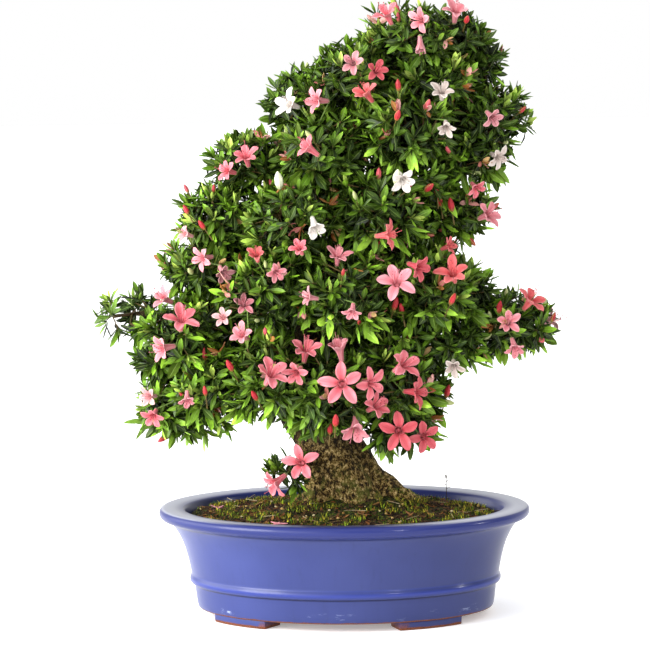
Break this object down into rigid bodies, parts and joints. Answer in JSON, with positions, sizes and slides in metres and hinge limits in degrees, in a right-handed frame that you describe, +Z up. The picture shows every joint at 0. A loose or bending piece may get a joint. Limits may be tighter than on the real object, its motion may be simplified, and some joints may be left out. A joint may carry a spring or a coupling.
{
  "type": "satsuki azalea bonsai",
  "caption": "Flowering satsuki azalea bonsai: a leaning, thick-based tree with pads of small leaves and pink flowers in an oval blue glazed pot.",
  "frame": {"origin": "on the surface it stands on, under the middle of the whole object's box", "axes": "+Z up, along its greatest extent; +X along the pot's long side, to the right of its front; +Y to the back"},
  "size_m": [0.5404, 0.3442, 0.6886],
  "materials": {
    "glaze": "glossy periwinkle-blue glaze, unglazed brown clay under the feet",
    "soil": "dark granular bonsai soil with patches of moss",
    "screen": "black plastic netting",
    "bark": "thin flaking bark",
    "leaves": "satin evergreen leaves",
    "petals_pink": "soft salmon pink petals",
    "petals_rose": "soft rose petals",
    "petals_pale": "soft pale pink petals",
    "petals_coral": "soft coral red petals",
    "petals_dusty": "fading dusty rose petals",
    "petals_white": "soft white petals"
  },
  "bodies": {
    "root": {"drain_screen_left": "screen", "drain_screen_right": "screen", "flowers_coral_18": "petals_coral", "flowers_coral_25": "petals_coral", "flowers_coral_26": "petals_coral", "flowers_coral_30": "petals_coral", "flowers_coral_31": "petals_coral", "flowers_coral_39": "petals_coral", "flowers_dusty_19": "petals_dusty", "flowers_dusty_27": "petals_dusty", "flowers_pale_09": "petals_pale", "flowers_pale_10": "petals_pale", "flowers_pale_11": "petals_pale", "flowers_pale_15": "petals_pale", "flowers_pale_16": "petals_pale", "flowers_pale_24": "petals_pale", "flowers_pale_28": "petals_pale", "flowers_pale_29": "petals_pale", "flowers_pale_32": "petals_pale", "flowers_pale_34": "petals_pale", "flowers_pale_37": "petals_pale", "flowers_pale_41": "petals_pale", "flowers_pink_01": "petals_pink", "flowers_pink_02": "petals_pink", "flowers_pink_04": "petals_pink", "flowers_pink_06": "petals_pink", "flowers_pink_08": "petals_pink", "flowers_pink_12": "petals_pink", "flowers_pink_13": "petals_pink", "flowers_pink_17": "petals_pink", "flowers_pink_35": "petals_pink", "flowers_pink_38": "petals_pink", "flowers_pink_40": "petals_pink", "flowers_rose_03": "petals_rose", "flowers_rose_05": "petals_rose", "flowers_rose_07": "petals_rose", "flowers_rose_20": "petals_rose", "flowers_rose_36": "petals_rose", "flowers_white_14": "petals_white", "flowers_white_21": "petals_white", "flowers_white_22": "petals_white", "flowers_white_23": "petals_white", "flowers_white_33": "petals_white", "foliage_apex": "leaves", "foliage_back_lower": "leaves", "foliage_back_upper": "leaves", "foliage_centre_front": "leaves", "foliage_left_branch": "leaves", "foliage_left_shoulder": "leaves", "foliage_left_upper": "leaves", "foliage_low_front": "leaves", "foliage_low_shoot": "leaves", "foliage_middle_front": "leaves", "foliage_right_branch": "leaves", "foliage_right_middle": "leaves", "foliage_right_shoulder": "leaves", "foliage_upper_front": "leaves", "pot": "glaze", "soil": "soil", "trunk_and_branches": "bark"}
  },
  "joints": []
}
